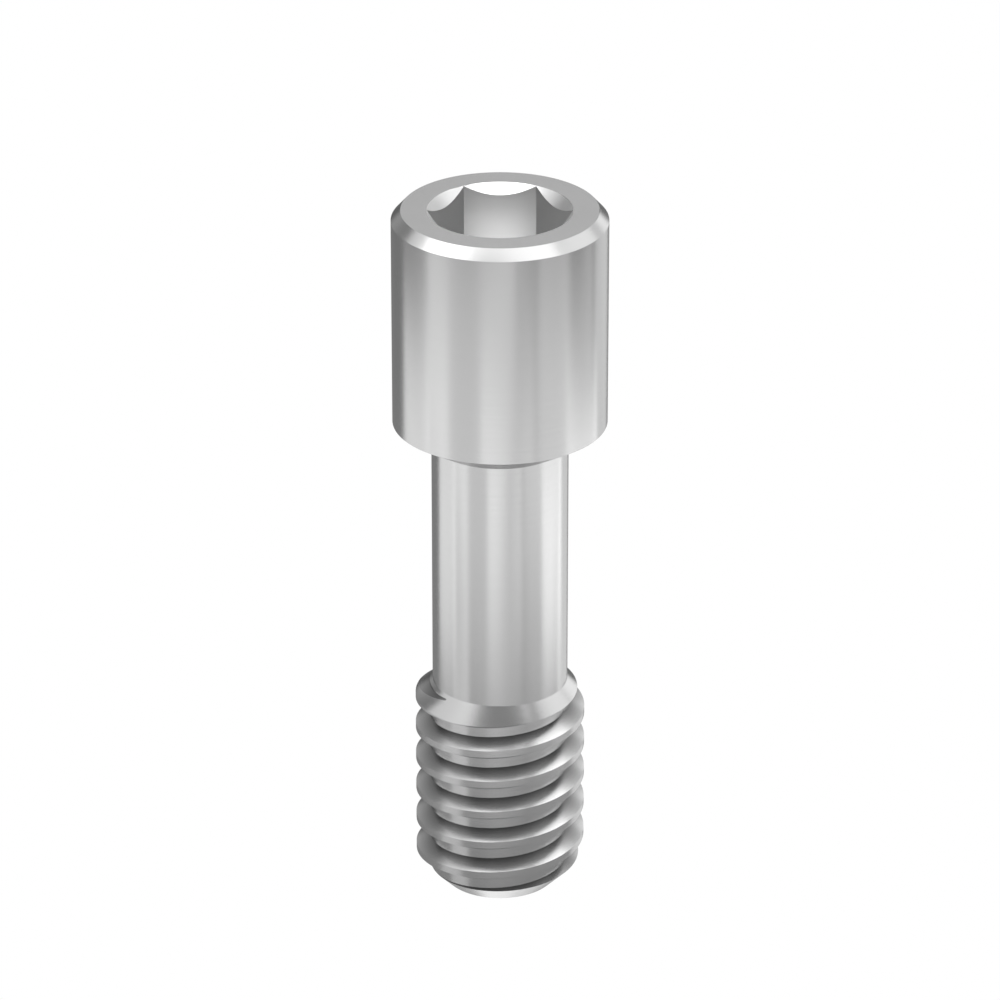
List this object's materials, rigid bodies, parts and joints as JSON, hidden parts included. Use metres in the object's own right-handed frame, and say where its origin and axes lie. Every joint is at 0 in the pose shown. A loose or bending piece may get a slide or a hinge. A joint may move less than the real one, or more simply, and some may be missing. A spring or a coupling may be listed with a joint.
{
  "type": "dental abutment screw",
  "caption": "Dental abutment screw with a cylindrical head, hexagon socket, conical seat, plain shank and short right-hand thread.",
  "frame": {"origin": "centre of the head's end face, which the screw stands on", "axes": "+Z along the screw's axis, from the head to the threaded tip; two flats of the hexagon socket face along Y"},
  "size_m": [0.0022, 0.0022, 0.0074],
  "materials": {
    "titanium": "satin machined titanium alloy"
  },
  "bodies": {
    "root": {"abutment_screw": "titanium"}
  },
  "joints": []
}
